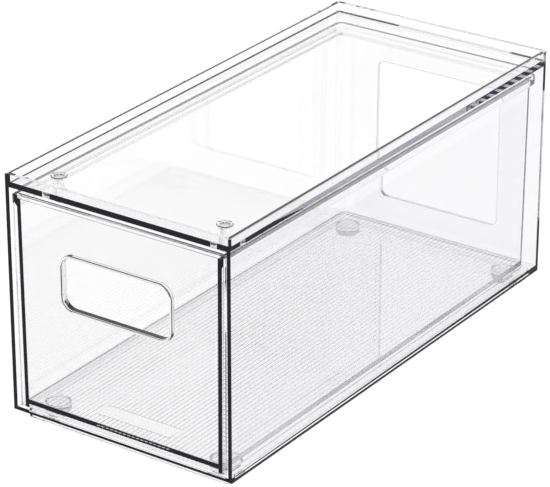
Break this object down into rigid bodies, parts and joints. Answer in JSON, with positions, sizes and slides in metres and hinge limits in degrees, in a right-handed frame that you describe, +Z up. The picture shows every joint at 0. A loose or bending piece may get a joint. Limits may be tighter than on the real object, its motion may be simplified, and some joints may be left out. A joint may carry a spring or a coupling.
{
  "type": "stackable fridge bin with drawer",
  "caption": "Clear rectangular storage sleeve with a stacking rim, rear window and low feet, holding a pull-out drawer with a rounded finger opening and stop pins.",
  "frame": {"origin": "centre of the footprint, on the surface that the feet stand on", "axes": "+Z up; -Y is the front, the way the drawer pulls out; +X is the bin's right side seen from the front"},
  "size_m": [0.1516, 0.3302, 0.1515],
  "materials": {
    "clear_shell": "polished clear polystyrene",
    "clear_drawer": "polished clear polystyrene, grooved under the floor",
    "frosted_pin": "translucent moulded plastic",
    "soft_foot": "translucent soft silicone"
  },
  "bodies": {
    "housing": {"housing": "clear_shell", "foot_front_left": "soft_foot", "foot_front_right": "soft_foot", "foot_back_left": "soft_foot", "foot_back_right": "soft_foot"},
    "drawer": {"drawer": "clear_drawer"},
    "stop_pin_left": {"stop_pin_left": "frosted_pin"},
    "stop_pin_right": {"stop_pin_right": "frosted_pin"}
  },
  "joints": [
    {"name": "drawer_slide", "type": "slide", "parent": "housing", "child": "drawer", "axis": [0, -1, 0], "range_m": [0, 0.29]},
    {"name": "stop_pin_left_pull", "type": "slide", "parent": "housing", "child": "stop_pin_left", "axis": [0, 0, 1], "range_m": [0, 0.02]},
    {"name": "stop_pin_right_pull", "type": "slide", "parent": "housing", "child": "stop_pin_right", "axis": [0, 0, 1], "range_m": [0, 0.02]}
  ]
}
